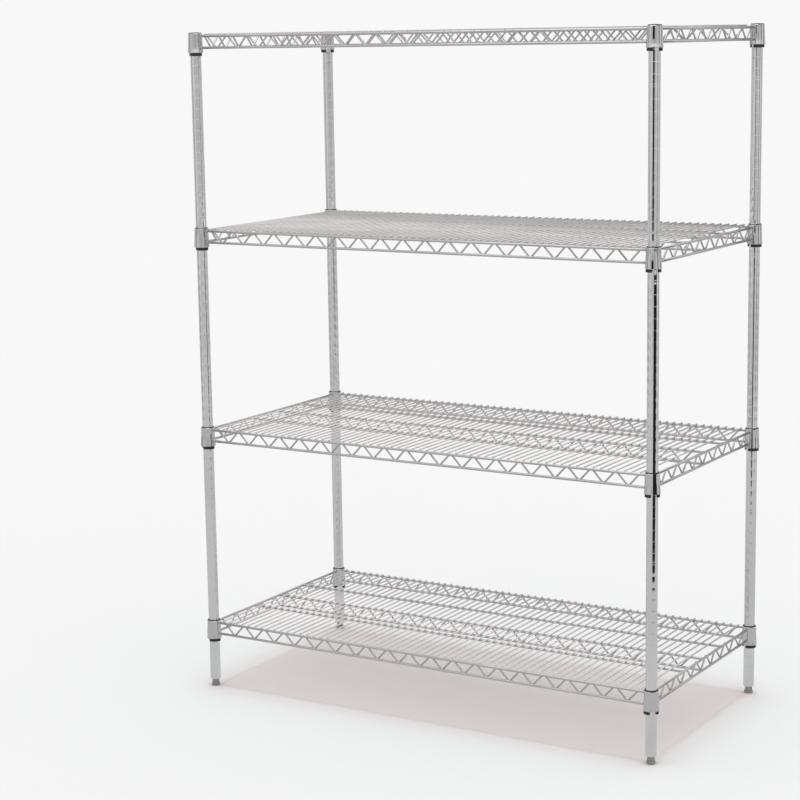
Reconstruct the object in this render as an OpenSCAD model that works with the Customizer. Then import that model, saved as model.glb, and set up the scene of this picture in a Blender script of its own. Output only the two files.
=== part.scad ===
// Wire shelving rack: four grooved tube posts, four welded wire shelves held up by split taper
// sleeves, and a levelling foot under each post. Millimetres. +X runs along the shelves, +Y to the
// back and +Z up. The origin is on the floor under the middle of the rack.

/* [Rack] */
// Distance between post centres along the shelves
span_x = 1175; // [600:25:1775]
// Distance between post centres from front to back
span_y = 566; // [350:2:700]

/* [Posts] */
// Outer diameter of a post tube
post_d = 25.4; // [24:0.2:27]
// Wall thickness of a post tube
post_wall = 1.2; // [1:0.1:2]
// Length of a post tube
post_len = 1568; // [1568:1:2200]
// Distance between the rolled grooves that a shelf can be set at
groove_pitch = 25.4; // [25:0.1:26]
// Height of the lowest groove above the bottom of the tube
groove_first = 25; // [20:1:40]
// Depth of a rolled groove
groove_depth = 0.5; // [0.4:0.05:0.6]
// Height of the cap's crown over the end of the tube
cap_crown = 6; // [4:0.5:8]

/* [Shelf levels] */
// Groove that holds each shelf, from the bottom shelf up
level_grooves = [4, 23, 42, 60]; // [0:1:60]

/* [Shelf wires] */
// Diameter of the rim and runner rods
rod_d = 6; // [5:0.2:7]
// Diameter of the deck wires, which run from front to back
wire_d = 3.8; // [3:0.1:4.5]
// Distance between deck wires
wire_pitch = 19; // [15:1:40]
// Diameter of the zigzag truss wires
truss_d = 4.2; // [3.5:0.1:5]
// Distance between the peaks of a truss wire
truss_pitch = 58.75; // [50:0.25:80]
// Height from a bottom rod to the top rod over it
truss_rise = 27; // [22:0.5:30]
// Distance of each plain runner from the middle of the deck
runner_offset = 110; // [60:5:140]
// Depth by which crossing wires are melted together
weld = 0.4; // [0.2:0.1:0.6]

/* [Corner collars] */
// Height of a collar
collar_h = 45; // [42:1:50]
// Wall thickness of a collar
collar_wall = 1.6; // [1.4:0.1:3]
// Radius of a collar's bore at its top
collar_top_r = 14.8; // [14.6:0.1:15.4]
// Growth of the bore's radius from top to bottom
collar_taper = 1.8; // [1.5:0.1:2.6]

/* [Split sleeves] */
// Height of a sleeve half with its leg
sleeve_h = 54; // [50:1:56]
// Height of the leg, which shows below the collar
leg_h = 13; // [10:1:16]
// Angle that a leg takes round the post
leg_angle = 110; // [80:5:140]
// Distance from the bottom of a sleeve to its collar's top
sleeve_drop = 52; // [52:1:54]
// Height of the inner ridge above the bottom of a sleeve
ridge_h = 30; // [28:1:34]

/* [Levelling feet] */
// Height from the floor to the post with the foot screwed in
foot_h = 18; // [17:0.5:24]
// Diameter of the nylon glide
glide_d = 20; // [17:0.5:24]
// Diameter of the foot's screw thread
thread_d = 10; // [8:1:12]
// Width of the bolt's hexagon across its flats
hex_flats = 16; // [15:0.5:17]
// Length of the screw inside the post
shank_len = 44; // [40:1:60]

/* [Hidden] */
$fn = 96;
SIDES = ["left", "right"];
ENDS = ["front", "back"];
LEVELS = ["bottom_shelf", "lower_shelf", "upper_shelf", "top_shelf"];
CORNERS = [for (e = [0, 1]) for (s = [0, 1]) [s, e]];
corner_name = function (c) str(ENDS[c[1]], "_", SIDES[c[0]]);
POST_PARTS = ["post", "cap", "insert", "bolt", "glide"];
SHELF_PARTS = [
    "collars", "top_rim", "bottom_rim", "front_truss", "back_truss",
    "end_trusses", "centre_truss", "runners", "deck_wires", "sleeves"
];

half_x = span_x / 2;
half_y = span_y / 2;
post_r = post_d / 2;
tube_bore_r = post_r - post_wall;

// Grooves: one at every pitch, and a second one beside every eighth as a counting mark
groove_w = 2.6;
groove_floor_w = 1.2;
mark_every = 8;
mark_offset = 5;
groove_count = floor((post_len - groove_first - 10) / groove_pitch) + 1;

// Heights below a shelf's deck surface, which is level with its collars' tops
wire_z = -wire_d / 2;
rod_z = -wire_d + weld - rod_d / 2;
low_rod_z = rod_z - truss_rise;
truss_inset = (rod_d + truss_d) / 2 - weld;
peak_tuck = 0.6;
wire_overhang = 1.5;
rod_bite = 1;
runner_bite = 1.5;

// Clearances of the split sleeves, between the tube inside and the collar outside
sleeve_bore_r = post_r + 0.05;
taper_gap = 0.15;
split_angle = 1;
ridge_r = post_r - groove_depth + 0.12;
tongue_angle = 10;
tongue_h = 11;
tongue_z = 27;
tongue_skin = 0.3;
catch_gap = 0.5;

press_r = 0.05;
insert_h = 22;
thread_gap = 0.08;
plug_h = 12;
cap_rim_h = 1.5;
glide_h = 7.5;
glide_chamfer = 1.5;
stem_r = 3.6;
disc_r = 5.2;
disc_h = 2.8;
disc_z = 2.2;
swivel_gap = 0.1;
hex_gap = 0.1;
hex_z = glide_h + 0.3;

function mirror_x(c) = c[0] == 0 ? -1 : 1;
function mirror_y(c) = c[1] == 0 ? -1 : 1;
function corner(c) = [mirror_x(c) * half_x, mirror_y(c) * half_y, 0];
function groove_z(k) = groove_first + k * groove_pitch;
function sleeve_z(level) = foot_h + groove_z(level_grooves[level]) - ridge_h;
function deck_z(level) = sleeve_z(level) + sleeve_drop;
// Collar bore radius at a height below the deck surface, given as a negative number
function bore_r(z) = collar_top_r - collar_taper * z / collar_h;
// Every groove's height on a post, with the counting marks among them
function groove_heights() = [
    for (k = [0 : groove_count - 1])
        for (extra = (k % mark_every == 0 ? [0, mark_offset] : [0]))
            groove_z(k) + extra
];

// A straight rod along X, from x0 to x1
module rod_x(x0, x1, y, z, d) {
    translate([x0, y, z])
        rotate([0, 90, 0])
            cylinder(h = x1 - x0, d = d);
}

// A straight rod along Y, from y0 to y1
module rod_y(y0, y1, x, z, d) {
    translate([x, y0, z])
        rotate([-90, 0, 0])
            cylinder(h = y1 - y0, d = d);
}

// Rolled tube standing on the insert's end, with a groove at every shelf position
module post() {
    groove_profile = [
        for (z = groove_heights())
            for (p = [
                [post_r, z - groove_w / 2],
                [post_r - groove_depth, z - groove_floor_w / 2],
                [post_r - groove_depth, z + groove_floor_w / 2],
                [post_r, z + groove_w / 2]
            ]) p
    ];
    profile = concat(
        [[tube_bore_r, 0], [post_r, 0]],
        groove_profile,
        [[post_r, post_len], [tube_bore_r, post_len]]
    );
    color("silver")
        translate([0, 0, foot_h])
            rotate_extrude()
                polygon(profile);
}

// Domed cap with a plug pressed into the top of the tube
module cap() {
    dome_h = cap_crown - cap_rim_h;
    dome_r = (post_r * post_r + dome_h * dome_h) / (2 * dome_h);
    color("lightgray")
        translate([0, 0, foot_h + post_len]) {
            translate([0, 0, -plug_h])
                cylinder(h = plug_h + cap_rim_h / 2, r = tube_bore_r + press_r);
            intersection() {
                cylinder(h = cap_crown + 1, r = post_r);
                translate([0, 0, cap_crown - dome_r])
                    sphere(r = dome_r);
            }
        }
}

// Threaded bush pressed into the bottom of the tube
module insert() {
    color("dimgray")
        translate([0, 0, foot_h])
            difference() {
                cylinder(h = insert_h, r = tube_bore_r + press_r);
                translate([0, 0, -1])
                    cylinder(h = insert_h + 2, r = thread_d / 2 + thread_gap);
            }
}

// Levelling bolt: screw, hexagon, and a stem whose disc turns in the glide
module bolt() {
    hex_top = foot_h - hex_gap;
    color("gray") {
        translate([0, 0, hex_top - 1])
            cylinder(h = shank_len + 1, r = thread_d / 2);
        translate([0, 0, hex_z])
            cylinder(h = hex_top - hex_z, r = hex_flats / sqrt(3), $fn = 6);
        translate([0, 0, disc_z + 1])
            cylinder(h = hex_z - disc_z, r = stem_r);
        translate([0, 0, disc_z])
            cylinder(h = disc_h, r = disc_r);
    }
}

// Nylon pad on the floor, hollowed for the bolt's disc and stem
module glide() {
    glide_r = glide_d / 2;
    pocket_r = disc_r + swivel_gap;
    neck_r = stem_r + swivel_gap;
    pocket_z0 = disc_z - swivel_gap;
    pocket_z1 = disc_z + disc_h + swivel_gap;
    color("gray")
        rotate_extrude()
            polygon([
                [0, 0], [glide_r - glide_chamfer, 0], [glide_r, glide_chamfer],
                [glide_r, glide_h - glide_chamfer], [glide_r - glide_chamfer, glide_h],
                [neck_r, glide_h], [neck_r, pocket_z1], [pocket_r, pocket_z1],
                [pocket_r, pocket_z0], [0, pocket_z0]
            ]);
}

// Ring sector between two radii, two heights and two angles
module sector(r0, r1, z0, z1, a0, a1) {
    rotate([0, 0, a0])
        rotate_extrude(angle = a1 - a0)
            translate([r0, z0])
                square([r1 - r0, z1 - z0]);
}

// One half of a sleeve, standing on z = 0 and facing +Y
module sleeve_half() {
    outer_r = function (z) bore_r(z - sleeve_drop) - taper_gap;
    ridge_w = 1.4;
    ridge_tip_w = 0.8;
    corner_angle = (180 - leg_angle) / 2;
    difference() {
        rotate([0, 0, split_angle])
            rotate_extrude(angle = 180 - 2 * split_angle)
                polygon([
                    [sleeve_bore_r, 0],
                    [outer_r(0), 0],
                    [outer_r(sleeve_h), sleeve_h],
                    [sleeve_bore_r, sleeve_h],
                    [sleeve_bore_r, ridge_h + ridge_w / 2],
                    [ridge_r, ridge_h + ridge_tip_w / 2],
                    [ridge_r, ridge_h - ridge_tip_w / 2],
                    [sleeve_bore_r, ridge_h - ridge_w / 2]
                ]);
        sector(post_r - 2, post_r + 10, -1, leg_h, -5, corner_angle);
        sector(post_r - 2, post_r + 10, -1, leg_h, 180 - corner_angle, 185);
        sector(post_r - 2, post_r + 10, tongue_z - catch_gap, tongue_z + tongue_h + catch_gap,
            -5, tongue_angle + 2);
    }
    sector(sleeve_bore_r + tongue_skin, outer_r(tongue_z + tongue_h) - tongue_skin,
        tongue_z, tongue_z + tongue_h, 176, 180 + tongue_angle);
}

// The pair of halves round each post at one level, split along the corner's diagonal
module sleeves(level) {
    color("#1a1a1a")
        for (c = CORNERS)
            translate(corner(c) + [0, 0, sleeve_z(level)])
                rotate([0, 0, -45 * mirror_x(c) * mirror_y(c) - 90])
                    for (turn = [0, 180])
                        rotate([0, 0, turn])
                            sleeve_half();
}

// Tapered collar at each corner of a shelf
module collars(level) {
    top_r = bore_r(0);
    low_r = bore_r(-collar_h);
    color("silver")
        for (c = CORNERS)
            translate(corner(c) + [0, 0, deck_z(level)])
                rotate_extrude()
                    polygon([
                        [top_r, 0], [top_r + collar_wall, 0],
                        [low_r + collar_wall, -collar_h], [low_r, -collar_h]
                    ]);
}

// Four rods between the collars, at a height below the deck surface
module rim(level, z) {
    reach = bore_r(z) + rod_bite;
    color("silver")
        translate([0, 0, deck_z(level) + z])
            for (side = [-1, 1]) {
                rod_x(-half_x + reach, half_x - reach, side * half_y, 0, rod_d);
                rod_y(-half_y + reach, half_y - reach, side * half_x, 0, rod_d);
            }
}

// Zigzag wire along X for a given span, on the plane y = 0, with its first peak up: an eight-sided
// sweep with an upright ring at every peak
module zigzag(span) {
    sides = 8;
    half_waves = 2 * round(span / truss_pitch);
    step = span / half_waves;
    fall = truss_rise - 2 * peak_tuck;
    stretch = sqrt(step * step + fall * fall) / step;
    last = half_waves - 2;
    points = [
        for (k = [0 : last])
            for (i = [0 : sides - 1])
                let (a = (i + 0.5) * 360 / sides, rises = k % 2)
                [
                    (k + 1) * step - span / 2,
                    truss_d / 2 * cos(a),
                    truss_d / 2 * stretch * sin(a) - peak_tuck - rises * fall
                ]
    ];
    walls = [
        for (k = [0 : last - 1])
            for (i = [0 : sides - 1])
                let (j = (i + 1) % sides, here = k * sides, next = here + sides)
                [here + i, next + i, next + j, here + j]
    ];
    first_end = [for (i = [0 : sides - 1]) i];
    last_end = [for (i = [sides - 1 : -1 : 0]) last * sides + i];
    polyhedron(points, concat(walls, [first_end, last_end]));
}

module long_truss(level, y) {
    color("silver")
        translate([0, y, deck_z(level) + rod_z])
            zigzag(span_x);
}

module end_trusses(level) {
    color("silver")
        for (side = [-1, 1])
            translate([side * (half_x - truss_inset), 0, deck_z(level) + rod_z])
                rotate([0, 0, 90])
                    zigzag(span_y);
}

// Rods under the deck: the middle one over its bottom rod, and a plain one to each side. The bottom
// rod ends on the middle peaks of the end trusses, and the others end on the end rods.
module runners(level) {
    reach = half_x - rod_d / 2 + runner_bite;
    low_reach = half_x - truss_inset - truss_d / 2 + weld;
    color("silver")
        translate([0, 0, deck_z(level)]) {
            for (side = [-1, 0, 1])
                rod_x(-reach, reach, side * runner_offset, rod_z, rod_d);
            rod_x(-low_reach, low_reach, 0, low_rod_z, rod_d);
        }
}

// Deck wires from the front rim to the back rim, as many as fit between the collars
module deck_wires(level) {
    end_gap = bore_r(0) + collar_wall + wire_d;
    wires = floor((span_x - 2 * end_gap) / wire_pitch) + 1;
    reach = half_y + wire_overhang;
    color("silver")
        for (i = [0 : wires - 1])
            rod_y(-reach, reach, (i - (wires - 1) / 2) * wire_pitch, deck_z(level) + wire_z, wire_d);
}

module post_part(part) {
    if (part == "post") post();
    if (part == "cap") cap();
    if (part == "insert") insert();
    if (part == "bolt") bolt();
    if (part == "glide") glide();
}

module shelf_part(part, level) {
    if (part == "collars") collars(level);
    if (part == "top_rim") rim(level, rod_z);
    if (part == "bottom_rim") rim(level, low_rod_z);
    if (part == "front_truss") long_truss(level, -half_y + truss_inset);
    if (part == "back_truss") long_truss(level, half_y - truss_inset);
    if (part == "end_trusses") end_trusses(level);
    if (part == "centre_truss") long_truss(level, truss_inset);
    if (part == "runners") runners(level);
    if (part == "deck_wires") deck_wires(level);
    if (part == "sleeves") sleeves(level);
}

for (c = CORNERS) for (p = POST_PARTS) {
    name = str(corner_name(c), "_", p);
    translate(corner(c)) post_part(p);
}
for (i = [0 : len(LEVELS) - 1]) for (p = SHELF_PARTS) {
    name = str(LEVELS[i], "_", p);
    shelf_part(p, i);
}
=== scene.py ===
"""Chrome wire shelving rack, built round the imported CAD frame.

Every wire, post, collar and sleeve is rebuilt smooth at the place and size of its CAD node, with
weld beads, rolled grooves, bent truss wires and cut ends. Metres, +X along the shelves, +Y to the
back, +Z up.
"""

import math

import bpy
import numpy as np
from mathutils import Euler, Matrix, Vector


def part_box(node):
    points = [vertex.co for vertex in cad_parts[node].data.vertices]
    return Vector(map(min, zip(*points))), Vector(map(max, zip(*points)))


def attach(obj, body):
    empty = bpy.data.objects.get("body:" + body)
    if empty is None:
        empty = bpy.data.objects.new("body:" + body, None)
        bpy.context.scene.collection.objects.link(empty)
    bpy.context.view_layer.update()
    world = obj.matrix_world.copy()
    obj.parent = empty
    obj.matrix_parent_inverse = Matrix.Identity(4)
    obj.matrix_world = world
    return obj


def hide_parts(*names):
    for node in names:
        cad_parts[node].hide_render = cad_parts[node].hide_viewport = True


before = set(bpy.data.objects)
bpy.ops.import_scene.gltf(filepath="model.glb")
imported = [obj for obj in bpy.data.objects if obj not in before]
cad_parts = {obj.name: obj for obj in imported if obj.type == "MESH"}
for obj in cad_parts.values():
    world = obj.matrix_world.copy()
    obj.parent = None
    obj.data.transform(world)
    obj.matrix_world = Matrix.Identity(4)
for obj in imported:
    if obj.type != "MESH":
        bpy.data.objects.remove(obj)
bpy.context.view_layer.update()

MM = 0.001
SEED = 63
rng = np.random.default_rng(SEED)

LEVELS = ["bottom_shelf", "lower_shelf", "upper_shelf", "top_shelf"]
CORNERS = [(end, side) for end in ("front", "back") for side in ("left", "right")]

# ---------------------------------------------------------------- camera

CAMERA_PLACE = (2.382, -4.253, 1.575)
CAMERA_YAW = 31.39
CAMERA_PITCH = -9.96
CAMERA_ROLL = -0.92
CAMERA_LENS = 93.2
CAMERA_SENSOR = 36.0
CAMERA_REACH = 200.0


def add_camera():
    """The photograph's view: from the front right, a little above the top shelf."""
    data = bpy.data.cameras.new("camera")
    data.lens = CAMERA_LENS
    data.sensor_width = CAMERA_SENSOR
    data.clip_end = CAMERA_REACH
    cam = bpy.data.objects.new("camera", data)
    bpy.context.collection.objects.link(cam)
    cam.location = CAMERA_PLACE
    aim = Euler((math.radians(90 + CAMERA_PITCH), 0.0, math.radians(CAMERA_YAW)), "XYZ").to_matrix()
    turn = Euler((0.0, 0.0, math.radians(CAMERA_ROLL)), "XYZ").to_matrix()
    cam.rotation_euler = (aim @ turn).to_euler("XYZ")
    bpy.context.scene.camera = cam


add_camera()

# ---------------------------------------------------------------- reading the frame

SAME_HEIGHT = 0.05 * MM
CORNER_REACH = 50 * MM


def node_points(node):
    """A CAD node's vertices as an array, in metres."""
    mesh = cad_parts[node].data
    co = np.empty(len(mesh.vertices) * 3)
    mesh.vertices.foreach_get("co", co)
    return co.reshape(-1, 3)


def solids(node):
    """(lowest corner, highest corner) of each separate solid in a CAD node."""
    co = node_points(node)
    keys, index = np.unique(np.round(co, 6), axis=0, return_inverse=True)
    index = index.reshape(-1)
    group = np.arange(len(keys))
    edges = np.array([[index[v] for v in e.vertices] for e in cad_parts[node].data.edges])
    changed = True
    while changed:
        low = np.minimum(group[edges[:, 0]], group[edges[:, 1]])
        before = group.copy()
        np.minimum.at(group, edges[:, 0], low)
        np.minimum.at(group, edges[:, 1], low)
        group = group[group]
        changed = not np.array_equal(before, group)
    boxes = [(keys[group == g].min(0), keys[group == g].max(0)) for g in np.unique(group)]
    return sorted(boxes, key=lambda b: tuple(b[0].round(5)))


def ring_radii(node, centre, z):
    """Smallest and largest distance of a node's vertices at height z from one corner's axis."""
    co = node_points(node)
    flat = co[np.abs(co[:, 2] - z) < SAME_HEIGHT][:, :2] - centre[:2]
    reach = np.hypot(flat[:, 0], flat[:, 1])
    reach = reach[reach < CORNER_REACH]
    return reach.min(), reach.max()


def corner_centre(corner):
    """The middle of a corner's post, at floor level."""
    lo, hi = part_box(f"{corner[0]}_{corner[1]}_post")
    return np.array([(lo.x + hi.x) / 2, (lo.y + hi.y) / 2, 0.0])


# ---------------------------------------------------------------- mesh making


class Shape:
    """Vertices and faces gathered from several parts, then made into one piece."""

    def __init__(self):
        self.verts = []
        self.faces = []
        self.count = 0

    def add(self, verts, faces):
        self.verts.append(np.asarray(verts, float))
        self.faces.extend([[i + self.count for i in f] for f in faces])
        self.count += len(verts)

    def grid(self, rings, closed_along=False, caps=False):
        """Joins rings of equal length, each a closed loop of points, into walls and end caps."""
        n, m = len(rings), len(rings[0])
        faces = []
        for a in range(n if closed_along else n - 1):
            b = (a + 1) % n
            for i in range(m):
                j = (i + 1) % m
                faces.append([a * m + i, a * m + j, b * m + j, b * m + i])
        if caps:
            faces.append(list(range(m))[::-1])
            faces.append([(n - 1) * m + i for i in range(m)])
        self.add(np.concatenate(rings), faces)

    def piece(self, name, material, body, slot, *nodes, sharp=40.0):
        """Makes the Blender object, smooth but for its sharp edges, and ties it to the frame."""
        mesh = bpy.data.meshes.new(name)
        mesh.from_pydata(np.concatenate(self.verts).tolist(), [], self.faces)
        mesh.validate()
        mesh.update()
        mesh.shade_smooth()
        mesh.set_sharp_from_angle(angle=math.radians(sharp))
        mesh.materials.append(material)
        obj = bpy.data.objects.new(name, mesh)
        bpy.context.collection.objects.link(obj)
        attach(obj, body)
        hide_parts(*nodes)
        return obj


def circle(radius, sides):
    """Points of a circle about the origin, anticlockwise."""
    a = np.arange(sides) * 2 * math.pi / sides
    return np.stack([radius * np.cos(a), radius * np.sin(a)], 1)


def revolve(shape, profile, centre, sides, closed=True):
    """Turns a profile of (radius, height) points about the upright axis through centre."""
    turn = circle(1.0, sides)
    rings = [
        np.column_stack([turn * r + centre[:2], np.full(sides, z + centre[2])]) for r, z in profile
    ]
    shape.grid(rings, closed_along=closed, caps=not closed)


def sweep(shape, path, radii, sides, side):
    """A round wire along path. side is a direction that is square to the path all the way."""
    path = np.asarray(path, float)
    side = np.asarray(side, float)
    ahead = np.gradient(path, axis=0)
    ahead /= np.linalg.norm(ahead, axis=1)[:, None]
    turn = circle(1.0, sides)
    rings = []
    for p, d, r in zip(path, ahead, radii):
        other = np.cross(d, side)
        rings.append(p + r * (turn[:, :1] * side + turn[:, 1:] * other))
    shape.grid(rings, caps=True)


CUT_ROUND = 0.45 * MM
# Middle point of a rounded edge, as a share of its radius
EASE = 0.3


def straight_wire(shape, start, end, radius, sides):
    """A straight wire with rounded cut ends."""
    start, end = np.asarray(start, float), np.asarray(end, float)
    length = np.linalg.norm(end - start)
    ahead = (end - start) / length
    side = np.array([0.0, 0.0, 1.0])
    cut = [0.0, CUT_ROUND * EASE, CUT_ROUND]
    shrink = [CUT_ROUND, CUT_ROUND * EASE, 0.0]
    along = cut + [length - c for c in cut[::-1]]
    radii = [radius - s for s in shrink] + [radius - s for s in shrink[::-1]]
    sweep(shape, [start + ahead * a for a in along], radii, sides, side)


BLOB_WOBBLE = 0.10
BEAD_WOBBLE = 0.06
BEAD_RIPPLE = 0.16
# Angle in radians that the ripple moves on by from one section of a bead to the next
RIPPLE_STEP = 2.3


def blob(shape, centre, sizes, sides=10, rings=5):
    """A small uneven lump of weld metal with the given half sizes."""
    turn = circle(1.0, sides)
    wobble = 1.0 + BLOB_WOBBLE * rng.standard_normal(sides)
    layers = []
    for k in range(rings):
        a = math.pi * (k + 0.5) / rings - math.pi / 2
        flat = turn * (math.cos(a) * wobble[:, None])
        layer = np.column_stack([flat, np.full(sides, math.sin(a))]) * np.asarray(sizes)
        layers.append(layer + centre)
    shape.grid(layers, caps=True)


def weld_size(half_sizes):
    """Half sizes of a blob, each a little off the ones given."""
    return half_sizes * rng.uniform(0.9, 1.1, 3)


def bead(shape, centre, axis, ring_r, bead_r, sides=20, section_sides=8):
    """A rippled fillet weld that runs round a rod where it meets another part."""
    axis = np.asarray(axis, float)
    up = np.array([0.0, 0.0, 1.0])
    other = np.cross(axis, up)
    section = circle(1.0, section_sides)
    waves = np.sin(np.arange(sides) * RIPPLE_STEP + rng.uniform(0, 6))
    ripple = 1.0 + BEAD_RIPPLE * waves + BEAD_WOBBLE * rng.standard_normal(sides)
    rings = []
    for k in range(sides):
        a = 2 * math.pi * k / sides
        out = math.cos(a) * up + math.sin(a) * other
        r = bead_r * ripple[k]
        rings.append(centre + out * ring_r + r * (section[:, :1] * out + section[:, 1:] * axis))
    shape.grid(rings, closed_along=True)


# ---------------------------------------------------------------- materials


class Nodes:
    """A new material's node tree, with short ways to add and link nodes."""

    def __init__(self, name):
        self.material = bpy.data.materials.new(name)
        self.material.use_nodes = True
        self.tree = self.material.node_tree
        self.shader = self.tree.nodes["Principled BSDF"]
        coords = self.tree.nodes.new("ShaderNodeTexCoord")
        self.place = coords.outputs["Object"]

    def link(self, source, target):
        self.tree.links.new(source, target)

    def noise(self, scale, detail=3.0, stretch=(1, 1, 1), rough=0.5):
        mapping = self.tree.nodes.new("ShaderNodeMapping")
        mapping.inputs["Scale"].default_value = stretch
        self.link(self.place, mapping.inputs["Vector"])
        node = self.tree.nodes.new("ShaderNodeTexNoise")
        node.inputs["Scale"].default_value = scale
        node.inputs["Detail"].default_value = detail
        node.inputs["Roughness"].default_value = rough
        self.link(mapping.outputs["Vector"], node.inputs["Vector"])
        return node.outputs["Fac"]

    def ramp(self, source, low, high, out_low, out_high):
        node = self.tree.nodes.new("ShaderNodeMapRange")
        node.inputs["From Min"].default_value = low
        node.inputs["From Max"].default_value = high
        node.inputs["To Min"].default_value = out_low
        node.inputs["To Max"].default_value = out_high
        self.link(source, node.inputs["Value"])
        return node.outputs["Result"]

    def mix(self, factor, first, second):
        node = self.tree.nodes.new("ShaderNodeMix")
        node.data_type = "RGBA"
        self.link(factor, node.inputs[0])
        for socket, value in ((node.inputs[6], first), (node.inputs[7], second)):
            if isinstance(value, tuple):
                socket.default_value = (*value, 1.0)
            else:
                self.link(value, socket)
        return node.outputs[2]

    def add(self, first, second, operation="ADD"):
        node = self.tree.nodes.new("ShaderNodeMath")
        node.operation = operation
        self.link(first, node.inputs[0])
        if isinstance(second, float):
            node.inputs[1].default_value = second
        else:
            self.link(second, node.inputs[1])
        return node.outputs[0]

    def bump(self, height, strength, distance):
        node = self.tree.nodes.new("ShaderNodeBump")
        node.inputs["Strength"].default_value = strength
        node.inputs["Distance"].default_value = distance
        self.link(height, node.inputs["Height"])
        self.link(node.outputs["Normal"], self.shader.inputs["Normal"])


def chrome(name, bright, haze, stretch, tint=(0.94, 0.945, 0.95)):
    """Chrome plate: near-mirror, with cloudy haze, fine drawing lines and a few dull specks."""
    n = Nodes(name)
    n.shader.inputs["Metallic"].default_value = 1.0
    cloud = n.noise(9.0, 4.0)
    lines = n.noise(260.0, 3.0, stretch)
    specks = n.ramp(n.noise(620.0, 2.0), 0.66, 0.74, 0.0, 1.0)
    light, shade, dull = (tuple(bright * share * c for c in tint) for share in (1.04, 0.95, 0.73))
    plate = n.mix(n.ramp(cloud, 0.35, 0.65, 0.0, 1.0), light, shade)
    n.link(n.mix(n.add(specks, 0.5, "MULTIPLY"), plate, dull), n.shader.inputs["Base Color"])
    smear = n.ramp(cloud, 0.3, 0.7, haze, haze + 0.09)
    drawn = n.ramp(lines, 0.3, 0.7, 0.0, 0.05)
    n.link(n.add(n.add(smear, drawn), n.add(specks, 0.15, "MULTIPLY")), n.shader.inputs["Roughness"])
    n.bump(lines, 0.10, 0.00012)
    return n.material


def plastic(name, dark, light, rough, grain):
    """Moulded plastic: fine spark-eroded grain, cloudy tone and pale scuffs."""
    n = Nodes(name)
    n.shader.inputs["Specular IOR Level"].default_value = 0.4
    cloud = n.noise(60.0, 4.0)
    fine = n.noise(grain, 2.0)
    scuff = n.ramp(n.noise(140.0, 5.0, (1.0, 1.0, 0.25), 0.7), 0.60, 0.72, 0.0, 1.0)
    tone = n.mix(n.ramp(cloud, 0.3, 0.7, 0.0, 1.0), dark, light)
    worn = tuple(min(1.0, c * 1.9 + 0.02) for c in light)
    n.link(n.mix(n.add(scuff, 0.45, "MULTIPLY"), tone, worn), n.shader.inputs["Base Color"])
    n.link(n.add(n.ramp(fine, 0.3, 0.7, rough, rough + 0.14), n.add(scuff, 0.12, "MULTIPLY")),
           n.shader.inputs["Roughness"])
    n.bump(fine, 0.25, 0.00015)
    return n.material


def zinc(name):
    """Zinc-plated steel: satin, with crystalline patches and turning marks."""
    n = Nodes(name)
    n.shader.inputs["Metallic"].default_value = 1.0
    patch = n.noise(180.0, 3.0)
    lines = n.noise(500.0, 2.0, (1.0, 1.0, 6.0))
    tone = n.mix(n.ramp(patch, 0.35, 0.65, 0.0, 1.0), (0.42, 0.43, 0.45), (0.30, 0.30, 0.31))
    n.link(tone, n.shader.inputs["Base Color"])
    n.link(n.add(n.ramp(patch, 0.3, 0.7, 0.26, 0.40), n.ramp(lines, 0.3, 0.7, 0.0, 0.08)),
           n.shader.inputs["Roughness"])
    n.bump(lines, 0.3, 0.0001)
    return n.material


def paper(name, tone):
    """Matt studio paper with a faint mottle."""
    n = Nodes(name)
    n.shader.inputs["Specular IOR Level"].default_value = 0.0
    mottle = n.noise(1.5, 4.0)
    low = tuple(0.995 * c for c in tone)
    high = tuple(1.005 * c for c in tone)
    n.link(n.mix(mottle, low, high), n.shader.inputs["Base Color"])
    n.link(n.ramp(mottle, 0.3, 0.7, 0.75, 0.85), n.shader.inputs["Roughness"])
    return n.material


# One plating, toned by part to the tone each part shows: the rods, trusses and collars are darker copies
# of it, painted shade, and the wires' warm tint is a painted reflection of the warm floor
POST_CHROME = chrome("post_chrome", 0.86, 0.03, (1.0, 1.0, 0.03))
# Warm tint on the deck wires: painted reflection of the warm floor
WARM_REFLECTION_WIRE_CHROME = chrome("wire_chrome", 0.84, 0.07, (0.25, 0.25, 1.0), (0.975, 0.94, 0.935))
# Darker and warmer copy of the plating for rods and trusses: painted shade and painted reflection
SHADED_ROD_CHROME = chrome("shaded_rod_chrome", 0.60, 0.06, (0.25, 0.25, 1.0), (0.965, 0.94, 0.94))
# Darker copy of the plating for the collars: painted shade
SHADED_COLLAR_CHROME = chrome("collar_chrome", 0.72, 0.05, (1.0, 1.0, 0.2))
CAP_PLASTIC = plastic("cap_plastic", (0.36, 0.36, 0.37), (0.44, 0.44, 0.45), 0.28, 900.0)
SLEEVE_PLASTIC = plastic("sleeve_plastic", (0.012, 0.012, 0.012), (0.022, 0.022, 0.023), 0.42, 1500.0)
GLIDE_NYLON = plastic("glide_nylon", (0.21, 0.21, 0.212), (0.28, 0.278, 0.274), 0.45, 1200.0)
ZINC = zinc("zinc")

# ---------------------------------------------------------------- posts and what is in them

POST_SIDES = 56
GROOVE_PITCH = 25.4 * MM
GROOVE_FIRST = 25.0 * MM
# Least distance from the last groove to the tube's top
GROOVE_CLEAR = 10.0 * MM
# Shallower and narrower than the CAD's grooves, which glitter in a way the photograph doesn't
GROOVE_HALF = 1.1 * MM
GROOVE_DEPTH = 0.2 * MM
MARK_EVERY = 8
MARK_OFFSET = 5.0 * MM
WALL = 1.2 * MM
EDGE = 0.5 * MM


def groove_heights(length):
    """Heights of the rolled grooves above the tube's end, with a second one at each mark."""
    heights = []
    for k in range(int((length - GROOVE_FIRST - GROOVE_CLEAR) / GROOVE_PITCH) + 1):
        heights.append(GROOVE_FIRST + k * GROOVE_PITCH)
        if k % MARK_EVERY == 0:
            heights.append(GROOVE_FIRST + k * GROOVE_PITCH + MARK_OFFSET)
    return heights


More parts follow.
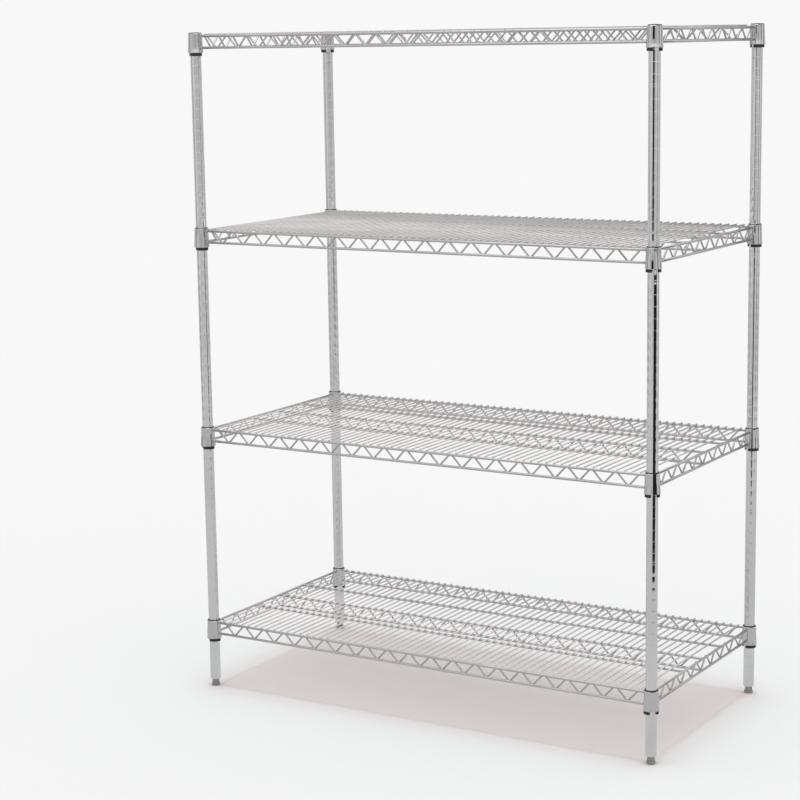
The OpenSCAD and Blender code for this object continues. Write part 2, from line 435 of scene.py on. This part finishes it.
def make_post(corner):
    """Rolled tube with soft-edged grooves and a rounded rim at each end."""
    name = f"{corner[0]}_{corner[1]}"
    lo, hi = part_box(f"{name}_post")
    radius = (hi.x - lo.x) / 2
    length = hi.z - lo.z
    bore = radius - WALL
    eased = EDGE * EASE
    outer = [(radius - EDGE, 0.0), (radius - eased, eased), (radius, EDGE)]
    for z in groove_heights(length):
        for t in np.linspace(-1.0, 1.0, 9):
            dip = GROOVE_DEPTH * (1 + math.cos(math.pi * t)) / 2
            outer.append((radius - dip, z + t * GROOVE_HALF))
    outer += [(radius, length - EDGE), (radius - eased, length - eased), (radius - EDGE, length)]
    outer += [(bore, length), (bore, 0.0)]
    shape = Shape()
    centre = corner_centre(corner) + [0, 0, lo.z]
    revolve(shape, outer, centre, POST_SIDES)
    shape.piece(f"{name}.post", POST_CHROME, "posts", "post_chrome", f"{name}_post")


# Radius at which a turned end is closed with a small flat
POLE = 0.3 * MM
CAP_EDGE = 0.35 * MM
CAP_STEP = 0.3 * MM
CAP_INSET = 0.6 * MM
RIM_SHARE = 0.28
PLUG_TAPER = 1.0 * MM
PLUG_TAPER_H = 1.5 * MM


def make_cap(corner):
    """Grey plug cap with a rim, a shallow step and a crown."""
    name = f"{corner[0]}_{corner[1]}"
    lo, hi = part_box(f"{name}_cap")
    radius = (hi.x - lo.x) / 2
    rim_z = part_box(f"{name}_post")[1].z
    crown = hi.z - rim_z
    plug_r = radius - WALL
    rim_h = RIM_SHARE * crown
    profile = [(POLE, lo.z), (plug_r - PLUG_TAPER, lo.z), (plug_r, lo.z + PLUG_TAPER_H), (plug_r, rim_z)]
    profile += [(radius - CAP_EDGE, rim_z), (radius, rim_z + CAP_EDGE), (radius, rim_z + rim_h)]
    for t in np.linspace(0.0, 1.0, 12):
        a = t * math.pi / 2
        profile.append(((radius - CAP_INSET) * math.cos(a) + POLE * t,
                        rim_z + rim_h + CAP_STEP + (crown - rim_h - CAP_STEP) * math.sin(a)))
    shape = Shape()
    revolve(shape, profile, corner_centre(corner), 48, closed=False)
    shape.piece(f"{name}.cap", CAP_PLASTIC, "posts", "cap_plastic", f"{name}_cap")


THREAD_R = 5.0 * MM
THREAD_PITCH = 1.5 * MM
THREAD_DEPTH = 0.85 * MM
THREAD_POINT = 2.0 * MM
THREAD_BITE = 0.2 * MM
HEX_TOP_GAP = 0.1 * MM
HEX_LOW_GAP = 0.3 * MM
STEM_R = 3.6 * MM
STEM_BITE = 0.5 * MM
HEX_FACE_INSET = 0.4 * MM
DISC_R = 5.2 * MM
DISC_H = 2.8 * MM
DISC_EDGE = 0.4 * MM
DISC_POLE = 0.2 * MM


def make_bolt(corner):
    """Levelling bolt: threaded shank, chamfered hexagon, and a stem with a disc in the glide."""
    name = f"{corner[0]}_{corner[1]}"
    lo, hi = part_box(f"{name}_bolt")
    centre = corner_centre(corner)
    post_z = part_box(f"{name}_post")[0].z
    hex_top = post_z - HEX_TOP_GAP
    hex_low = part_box(f"{name}_glide")[1].z + HEX_LOW_GAP
    shape = Shape()
    hexagon(shape, centre, (hi.y - lo.y) / 2, hex_low, hex_top)
    thread(shape, centre, hex_top - THREAD_BITE, hi.z)
    disc_top = lo.z + DISC_H
    profile = [(DISC_POLE, lo.z), (DISC_R - DISC_EDGE, lo.z), (DISC_R, lo.z + DISC_EDGE),
               (DISC_R, disc_top - DISC_EDGE), (DISC_R - DISC_EDGE, disc_top), (STEM_R, disc_top),
               (STEM_R, hex_low + STEM_BITE)]
    revolve(shape, profile, centre, 32, closed=False)
    shape.piece(f"{name}.bolt", ZINC, f"{name}_foot_screw", "bolt_steel", f"{name}_bolt", sharp=28.0)


def hexagon(shape, centre, flats_r, z0, z1):
    """A hexagon, flats_r from its axis to its flats, with its corners turned down at both ends."""
    per_side = 8
    sides = 6 * per_side
    corners_r = flats_r * 2 / math.sqrt(3)
    a = np.arange(sides) * 2 * math.pi / sides
    from_flat = a % (math.pi / 3) - math.pi / 6
    reach = flats_r / np.cos(from_flat)
    chamfer_r = flats_r + 0.25 * (corners_r - flats_r)
    slope = 2.2 * math.tan(math.radians(30))
    drop = np.clip((reach - chamfer_r) * slope, 0.0, None)
    inner = chamfer_r - HEX_FACE_INSET
    flat = np.stack([np.cos(a), np.sin(a)], 1)
    rings = []
    for r, z in ((np.full(sides, inner), np.full(sides, z0)),
                 (np.minimum(reach, chamfer_r), np.full(sides, z0)),
                 (reach, z0 + drop), (reach, z1 - drop),
                 (np.minimum(reach, chamfer_r), np.full(sides, z1)),
                 (np.full(sides, inner), np.full(sides, z1))):
        rings.append(np.column_stack([flat * r[:, None] + centre[:2], z]))
    shape.grid(rings, caps=True)


def thread(shape, centre, z0, z1):
    """A right-handed screw thread on a shank with a pointed end."""
    sides = 28
    steps = int((z1 - z0) / THREAD_PITCH * 4)
    a = np.arange(sides) * 2 * math.pi / sides
    rings = []
    for k in range(steps + 1):
        z = z0 + (z1 - z0) * k / steps
        phase = ((z - z0) / THREAD_PITCH - a / (2 * math.pi)) % 1.0
        cut = THREAD_DEPTH * np.clip(np.abs(phase - 0.5) * 2.6 - 0.25, 0.0, 1.0)
        taper = max(0.0, z - z1 + THREAD_POINT) * 0.5
        r = THREAD_R - np.maximum(cut, taper)
        rings.append(np.column_stack([
            np.cos(a) * r + centre[0], np.sin(a) * r + centre[1], np.full(sides, z)]))
    shape.grid(rings, caps=True)


DISH = 0.5 * MM
NECK_R = 3.75 * MM
POCKET_R = 5.3 * MM
POCKET_LOW = 2.1 * MM
POCKET_TOP = 5.1 * MM


def make_glide(corner):
    """Nylon foot pad with a dished underside, a soft edge and a pocket for the bolt's disc."""
    name = f"{corner[0]}_{corner[1]}"
    lo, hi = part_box(f"{name}_glide")
    radius = (hi.x - lo.x) / 2
    height = hi.z - lo.z
    profile = [(POLE, DISH), (radius * 0.55, DISH), (radius * 0.66, 0.0),
               (radius - 1.4 * MM, 0.0), (radius - 0.4 * MM, 0.4 * MM), (radius, 1.4 * MM),
               (radius, height - 2.4 * MM), (radius - 0.3 * MM, height - 1.4 * MM),
               (radius - 1.2 * MM, height - 0.4 * MM), (radius - 2.2 * MM, height),
               (NECK_R, height), (NECK_R, POCKET_TOP), (POCKET_R, POCKET_TOP),
               (POCKET_R, POCKET_LOW), (POLE, POCKET_LOW)]
    shape = Shape()
    revolve(shape, profile, corner_centre(corner) + [0, 0, lo.z], 48)
    shape.piece(f"{name}.glide", GLIDE_NYLON, f"{name}_foot_pad", "glide_nylon", f"{name}_glide")


for post_corner in CORNERS:
    make_post(post_corner)
    make_cap(post_corner)
    make_bolt(post_corner)
    make_glide(post_corner)
    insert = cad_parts[f"{post_corner[0]}_{post_corner[1]}_insert"]
    insert.data.materials.clear()
    insert.data.materials.append(ZINC)

# ---------------------------------------------------------------- shelves

ROD_SIDES = 24
WIRE_SIDES = 16
LIP_INSET = 0.45 * MM
COLLAR_FOOT_EDGE = 0.5 * MM
COLLAR_TOP_EDGE = 0.6 * MM
BORE_FOOT_EDGE = 0.3 * MM
BORE_TOP_EDGE = 0.4 * MM
RIM_WELD_INSET = 1.4 * MM
RIM_WELD_OUT = 0.15 * MM
RIM_WELD_R = 0.85 * MM


def make_collars(level):
    """Tapered collars with rolled lips, and the fillet welds of the rods that end in them."""
    node = f"{level}_collars"
    lo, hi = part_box(node)
    shape = Shape()
    for corner in CORNERS:
        centre = corner_centre(corner)
        top_in, top_out = ring_radii(node, centre, hi.z)
        low_in, low_out = ring_radii(node, centre, lo.z)
        height = hi.z - lo.z
        profile = [(low_in + BORE_FOOT_EDGE, 0.0), (low_out - COLLAR_FOOT_EDGE, 0.0),
                   (low_out, COLLAR_FOOT_EDGE)]
        for t, inset in ((0.05, 0.0), (0.09, LIP_INSET), (0.90, LIP_INSET), (0.94, 0.0)):
            profile.append((low_out + (top_out - low_out) * t - inset, t * height))
        profile += [(top_out, height - COLLAR_TOP_EDGE), (top_out - COLLAR_TOP_EDGE, height)]
        profile += [(top_in + BORE_TOP_EDGE, height), (top_in, height - BORE_TOP_EDGE)]
        profile += [(low_in, BORE_FOOT_EDGE)]
        revolve(shape, profile, centre + [0, 0, lo.z], 64)
    for rim in ("top_rim", "bottom_rim"):
        for rod_lo, rod_hi in solids(f"{level}_{rim}"):
            middle = (rod_lo + rod_hi) / 2
            axis = int(np.argmax(rod_hi - rod_lo))
            rod_r = (rod_hi[2] - rod_lo[2]) / 2
            ahead = np.eye(3)[axis]
            for sign in (-1, 1):
                spot = middle.copy()
                spot[axis] = (rod_hi if sign > 0 else rod_lo)[axis] - sign * RIM_WELD_INSET
                bead(shape, spot, ahead, rod_r + RIM_WELD_OUT, RIM_WELD_R)
    shape.piece(f"{level}.collars", SHADED_COLLAR_CHROME, level, "collar_chrome", node)


def rod_between(shape, lo, hi, sides):
    """A straight rod that fills a box which is long in one direction."""
    axis = int(np.argmax(hi - lo))
    middle = (lo + hi) / 2
    start, end = middle.copy(), middle.copy()
    start[axis], end[axis] = lo[axis], hi[axis]
    straight_wire(shape, start, end, (hi[2] - lo[2]) / 2, sides)


RUNNER_WELD_INSET = 1.3 * MM
RUNNER_WELD_R = 0.8 * MM


def make_rods(level, part):
    """The rods of one rim, or the runners with the weld at each of their ends."""
    node = f"{level}_{part}"
    shape = Shape()
    for lo, hi in solids(node):
        rod_between(shape, lo, hi, ROD_SIDES)
        if part == "runners":
            middle = (lo + hi) / 2
            for end, sign in ((lo[0], 1), (hi[0], -1)):
                spot = np.array([end + sign * RUNNER_WELD_INSET, middle[1], middle[2]])
                bead(shape, spot, (1, 0, 0), (hi[2] - lo[2]) / 2, RUNNER_WELD_R)
    shape.piece(f"{level}.{part}", SHADED_ROD_CHROME, level, "wire_chrome", node)


DECK_WELD = np.array([2.2, 2.5, 0.9]) * MM
DECK_WELD_UP = 0.15 * MM
SAME_LAYER = 2 * MM


def make_deck(level):
    """Deck wires, with a pressed weld wherever one crosses a rod."""
    node = f"{level}_deck_wires"
    shape = Shape()
    rods = [b for b in solids(f"{level}_top_rim") if b[1][0] - b[0][0] > b[1][1] - b[0][1]]
    deck_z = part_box(node)[0].z
    rods += [b for b in solids(f"{level}_runners") if abs(b[1][2] - deck_z) < SAME_LAYER]
    for lo, hi in solids(node):
        rod_between(shape, lo, hi, WIRE_SIDES)
        for rod_lo, rod_hi in rods:
            spot = np.array([(lo[0] + hi[0]) / 2, (rod_lo[1] + rod_hi[1]) / 2, lo[2] + DECK_WELD_UP])
            blob(shape, spot, weld_size(DECK_WELD))
    shape.piece(f"{level}.deck_wires", WARM_REFLECTION_WIRE_CHROME, level, "wire_chrome", node)


BEND_R = 6.0 * MM
BEND_STEPS = 8


def zigzag_path(start, end, count, rise):
    """Centre line of a bent truss wire: count peaks from start to end, the first one up.

    start and end are points on the upper peaks' line. Returns the path and its peaks."""
    step = np.linalg.norm(end - start) / (count - 1)
    ahead = (end - start) / np.linalg.norm(end - start)
    straight = rise - 2 * BEND_R
    slope = math.atan2(straight, step) + math.asin(2 * BEND_R / math.hypot(step, straight))
    path, peaks = [], []
    for k in range(count):
        up = k % 2 == 0
        sign = 1 if up else -1
        top = start + ahead * step * k - np.array([0, 0, 0 if up else rise])
        hub = top - np.array([0, 0, sign * BEND_R])
        first = -slope if k > 0 else 0.0
        last = slope if k < count - 1 else 0.0
        for a in np.linspace(first, last, BEND_STEPS):
            path.append(hub + BEND_R * (ahead * math.sin(a) + np.array([0, 0, sign * math.cos(a)])))
        peaks.append(top)
    return np.array(path), peaks


# About the distance along a truss from an upper peak to the next lower one
TRUSS_STEP = 29.0 * MM
TRUSS_D = 4.2 * MM
PEAK_TUCK = 0.6 * MM
TRUSS_WELD = np.array([2.4, 2.4, 2.1]) * MM
TRUSS_WELD_DEPTH = 0.8 * MM
TRUSS_WELD_BITE = 0.15 * MM


def make_truss(level, part, rod_nodes):
    """Truss wires, each one bent zigzag, and its welds to the rods beside it."""
    node = f"{level}_{part}"
    rods = [box for rod_node in rod_nodes for box in solids(f"{level}_{rod_node}")]
    top_z = max((lo[2] + hi[2]) / 2 for lo, hi in rods) - PEAK_TUCK
    low_z = min((lo[2] + hi[2]) / 2 for lo, hi in rods) + PEAK_TUCK
    shape = Shape()
    for lo, hi in solids(node):
        axis = 0 if hi[0] - lo[0] > hi[1] - lo[1] else 1
        across = 1 - axis
        middle = (lo + hi) / 2
        start, end = middle.copy(), middle.copy()
        start[axis], end[axis] = lo[axis], hi[axis]
        start[2] = end[2] = top_z
        count = int(round((hi[axis] - lo[axis]) / TRUSS_STEP)) + 1
        path, peaks = zigzag_path(start, end, count, top_z - low_z)
        side = np.eye(3)[across]
        sweep(shape, path, np.full(len(path), TRUSS_D / 2), WIRE_SIDES, side)
        toward = weld_side(middle, across, rods)
        for peak in peaks:
            spot = peak + side * toward * (TRUSS_D / 2 - TRUSS_WELD_BITE)
            half = TRUSS_WELD.copy()
            half[across] = TRUSS_WELD_DEPTH
            blob(shape, spot, weld_size(half))
    shape.piece(f"{level}.{part}", SHADED_ROD_CHROME, level, "wire_chrome", node)


def weld_side(middle, across, rods):
    """+1 or -1: the side of a truss wire on which its rods lie."""
    along = [b for b in rods if (b[1] - b[0])[1 - across] > (b[1] - b[0])[across]]
    nearest = min(along, key=lambda b: abs((b[0] + b[1])[across] / 2 - middle[across]))
    return 1 if (nearest[0] + nearest[1])[across] / 2 > middle[across] else -1


SLEEVE_GAP = 0.05 * MM
SPLIT = math.radians(1.0)
LEG_ANGLE = math.radians(110.0)
LEG_H = 13.0 * MM
TONGUE_ANGLE = math.radians(10.0)
TONGUE_Z = 27.0 * MM
TONGUE_H = 11.0 * MM
CATCH_GAP = 0.5 * MM


def make_sleeves(level):
    """Black split sleeves: two halves per post that lock with a tongue and show a leg below."""
    node = f"{level}_sleeves"
    lo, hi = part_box(node)
    height = hi.z - lo.z
    shape = Shape()
    for corner in CORNERS:
        centre = corner_centre(corner)
        post_lo, post_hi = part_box(f"{corner[0]}_{corner[1]}_post")
        bore_r = (post_hi.x - post_lo.x) / 2 + SLEEVE_GAP
        top_r = ring_radii(node, centre, hi.z)[1]
        low_r = ring_radii(node, centre, lo.z)[1]
        sign = math.copysign(1, centre[0]) * math.copysign(1, centre[1])
        for turn in (0.0, math.pi):
            facing = math.radians(-45) * sign - math.pi / 2 + turn
            sleeve_half(shape, centre + [0, 0, lo.z], height, bore_r, low_r, top_r, facing)
    shape.piece(f"{level}.sleeves", SLEEVE_PLASTIC, "posts", "sleeve_plastic", node, sharp=35.0)


def sleeve_half(shape, foot, height, bore_r, low_r, top_r, facing):
    """One half shell, built from the solid cells of a grid in angle and height."""
    leg0 = math.pi / 2 - LEG_ANGLE / 2
    leg1 = math.pi / 2 + LEG_ANGLE / 2
    angles = sorted({SPLIT, TONGUE_ANGLE + 2 * SPLIT, leg0, leg1, math.pi - SPLIT,
                     math.pi + TONGUE_ANGLE, *np.linspace(leg0, leg1, 19),
                     *np.linspace(TONGUE_ANGLE + 2 * SPLIT, leg0, 5),
                     *np.linspace(leg1, math.pi - SPLIT, 6)})
    angles = [a for k, a in enumerate(angles) if k == 0 or a - angles[k - 1] > 1e-4]
    heights = [0.0, LEG_H, TONGUE_Z - CATCH_GAP, TONGUE_Z, TONGUE_Z + TONGUE_H,
               TONGUE_Z + TONGUE_H + CATCH_GAP, height]

    def solid_cell(a, z):
        if z < LEG_H:
            return leg0 < a < leg1
        if a > math.pi - SPLIT:
            return TONGUE_Z < z < TONGUE_Z + TONGUE_H
        if a < TONGUE_ANGLE + 2 * SPLIT:
            return not TONGUE_Z - CATCH_GAP < z < TONGUE_Z + TONGUE_H + CATCH_GAP
        return True

    def point(a, z, outside):
        outer = low_r + (top_r - low_r) * z / height
        r = outer if outside else bore_r
        return (foot[0] + r * math.cos(a + facing), foot[1] + r * math.sin(a + facing), foot[2] + z)

    cells = {(i, j) for i in range(len(angles) - 1) for j in range(len(heights) - 1)
             if solid_cell((angles[i] + angles[i + 1]) / 2, (heights[j] + heights[j + 1]) / 2)}
    index, verts, faces = {}, [], []

    def vert(i, j, outside):
        key = (i, j, outside)
        if key not in index:
            index[key] = len(verts)
            verts.append(point(angles[i], heights[j], outside))
        return index[key]

    for i, j in sorted(cells):
        loop = [(i, j), (i + 1, j), (i + 1, j + 1), (i, j + 1)]
        faces.append([vert(*c, True) for c in loop])
        faces.append([vert(*c, False) for c in loop[::-1]])
        beside = [(i, j - 1), (i + 1, j), (i, j + 1), (i - 1, j)]
        for side, (first, second) in zip(beside, zip(loop, loop[1:] + loop[:1])):
            if side not in cells:
                faces.append([vert(*second, True), vert(*first, True),
                              vert(*first, False), vert(*second, False)])
    shape.add(verts, faces)


for shelf in LEVELS:
    make_collars(shelf)
    for rod_part in ("top_rim", "bottom_rim", "runners"):
        make_rods(shelf, rod_part)
    make_deck(shelf)
    for truss in ("front_truss", "back_truss", "end_trusses"):
        make_truss(shelf, truss, ("top_rim", "bottom_rim"))
    make_truss(shelf, "centre_truss", ("runners",))
    make_sleeves(shelf)

# ---------------------------------------------------------------- stage and light

BACKDROP = 0.94
FLOOR_TONE = (0.80, 0.71, 0.69)
FLOOR_REACH = 60.0
SUN_WIDTH = 9.0
RACK_MIDDLE = (0.0, 0.0)
FRONT_RIGHT_POST = corner_centre(("front", "right"))
# A ring of even cards round the rack, each a little wider than its share of the ring
WALL_DISTANCE = 9.0
WALL_HEIGHT = 4.0
WALL_SHADE = 0.68
WALL_COUNT = 12
WALL_OVERLAP = 1.025
# Dark upright strips in front of the ring: bearing in degrees, width, shade
STRIP_DISTANCE = 4.5
STRIP_HEIGHT = 2.4
STRIPS = [(-152, 0.8, 0.10), (-100, 0.3, 0.30), (-5, 0.9, 0.12), (38, 0.7, 0.08), (145, 0.9, 0.12),
          (178, 0.5, 0.20)]


def add_floor():
    """A wide pale floor."""
    mesh = bpy.data.meshes.new("floor")
    r = FLOOR_REACH
    mesh.from_pydata([(-r, -r, 0), (r, -r, 0), (r, r, 0), (-r, r, 0)], [], [(0, 1, 2, 3)])
    mesh.materials.append(paper("floor", FLOOR_TONE))
    obj = bpy.data.objects.new("floor", mesh)
    bpy.context.collection.objects.link(obj)


def add_world():
    """Even surroundings in the tone of the backdrop."""
    world = bpy.data.worlds.new("world")
    bpy.context.scene.world = world
    world.use_nodes = True
    back = world.node_tree.nodes["Background"]
    back.inputs["Color"].default_value = (BACKDROP, BACKDROP, BACKDROP, 1.0)


def add_overhead_light():
    """A soft light from above that brings the open floor up to the backdrop's tone.

    The world alone lights the floor to BACKDROP times its tone, and this adds what is missing."""
    missing = [BACKDROP / tone - BACKDROP for tone in FLOOR_TONE]
    data = bpy.data.lights.new("overhead", "SUN")
    data.energy = math.pi * max(missing)
    data.color = [m / max(missing) for m in missing]
    data.angle = math.radians(SUN_WIDTH)
    lamp = bpy.data.objects.new("overhead", data)
    bpy.context.collection.objects.link(lamp)
    lamp.visible_glossy = False


def add_card(name, place, facing, width, height, shade, tilt=90):
    """A studio card that only shows in reflections, for the chrome to mirror.

    facing is the bearing of its front in degrees from +X, and a tilt of 180 turns it to face down."""
    mesh = bpy.data.meshes.new(name)
    w, h = width / 2, height / 2
    mesh.from_pydata([(-w, -h, 0), (w, -h, 0), (w, h, 0), (-w, h, 0)], [], [(0, 1, 2, 3)])
    material = bpy.data.materials.new(name)
    material.use_nodes = True
    tree = material.node_tree
    tree.nodes.remove(tree.nodes["Principled BSDF"])
    glow = tree.nodes.new("ShaderNodeEmission")
    glow.inputs["Color"].default_value = (shade, shade, shade, 1.0)
    tree.links.new(glow.outputs[0], tree.nodes["Material Output"].inputs["Surface"])
    mesh.materials.append(material)
    obj = bpy.data.objects.new(name, mesh)
    bpy.context.collection.objects.link(obj)
    obj.location = place
    obj.rotation_euler = (math.radians(tilt), 0.0, math.radians(facing + 90))
    obj.visible_camera = False
    obj.visible_diffuse = False
    obj.visible_shadow = False
    obj.visible_transmission = False


def around(centre, bearing, distance, height):
    """A place at a bearing in degrees and a distance from a centre, at a height over the floor."""
    a = math.radians(bearing)
    return (centre[0] + distance * math.cos(a), centre[1] + distance * math.sin(a), height)


add_floor()
add_world()
add_overhead_light()
add_card("front_card", (3.6, -6.6, 1.6), 119, 8.0, 3.6, 0.52)
add_card("back_card", (0.0, 6.0, 2.0), -90, 5.0, 4.0, 0.55)
add_card("floor_card", (0.0, 0.0, 0.5 * MM), 90, 18.0, 18.0, 0.60, tilt=0)
add_card("right_top_card", (2.0, -0.2, 3.4), -90, 2.2, 2.4, 0.10, tilt=180)
add_card("low_flag", around(FRONT_RIGHT_POST, -32, 0.35, 0.68), 148, 0.35, 0.72, 0.01)
add_card("high_flag", around(FRONT_RIGHT_POST, -80, 0.35, 1.36), 100, 0.20, 0.50, 0.01)
add_card("top_card", (0.0, -0.4, 4.4), -90, 3.0, 1.6, 2.4, tilt=180)
for number in range(WALL_COUNT):
    bearing = 360 / WALL_COUNT * number
    width = 2 * WALL_OVERLAP * WALL_DISTANCE * math.tan(math.pi / WALL_COUNT)
    place = around(RACK_MIDDLE, bearing, WALL_DISTANCE, WALL_HEIGHT / 2)
    add_card(f"wall_{number}", place, bearing + 180, width, WALL_HEIGHT, WALL_SHADE)
for number, (bearing, width, shade) in enumerate(STRIPS):
    place = around(RACK_MIDDLE, bearing, STRIP_DISTANCE, STRIP_HEIGHT / 2)
    add_card(f"strip_{number}", place, bearing + 180, width, STRIP_HEIGHT, shade)

bpy.context.scene.view_settings.view_transform = "Standard"
